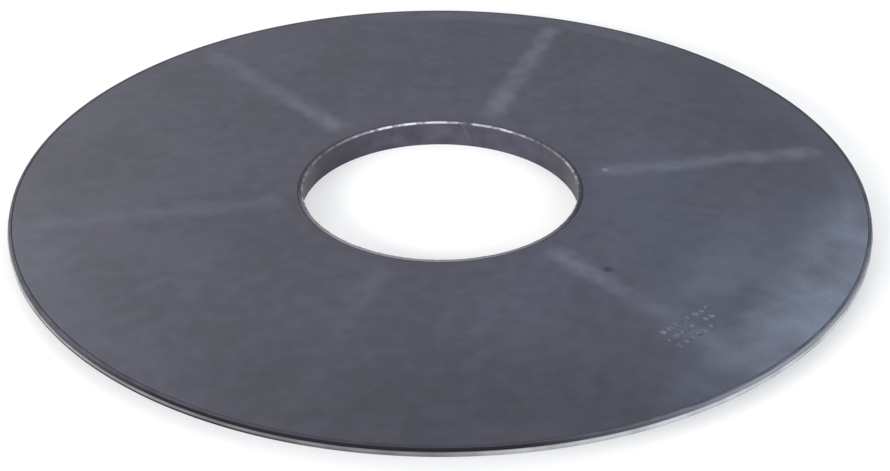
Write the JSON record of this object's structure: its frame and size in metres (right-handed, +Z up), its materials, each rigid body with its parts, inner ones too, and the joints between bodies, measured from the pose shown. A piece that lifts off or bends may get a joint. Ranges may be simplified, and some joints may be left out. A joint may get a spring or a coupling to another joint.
{
  "type": "circle template",
  "caption": "Large flat ring template: a thin annular plate on a deep hub hoop, with radial ribs beneath and a narrow edge strip round the rim, for marking out inside and outside circles.",
  "frame": {"origin": "centre of the hub hoop's foot, on the surface that the template stands on", "axes": "+Z up along the axis of the ring; +X along the first rib"},
  "size_m": [0.6, 0.6, 0.02],
  "materials": {
    "face_plastic": "dark blue-grey, semi-matte with a soft sheen, fine-grained, with faint scuffs",
    "edge_plastic": "dark blue-grey, satin, with a rubbed paler arris",
    "hoop_plastic": "dark grey, satin, with a pale trimmed top edge",
    "rib_plastic": "dark grey, matt, as moulded"
  },
  "bodies": {
    "root": {"face_plate": "face_plastic", "edge_strip": "edge_plastic", "backing_ring": "edge_plastic", "hub_hoop": "hoop_plastic", "hub_collar": "rib_plastic", "rib_1": "rib_plastic", "rib_2": "rib_plastic", "rib_3": "rib_plastic", "rib_4": "rib_plastic", "rib_5": "rib_plastic", "rib_6": "rib_plastic"}
  },
  "joints": []
}
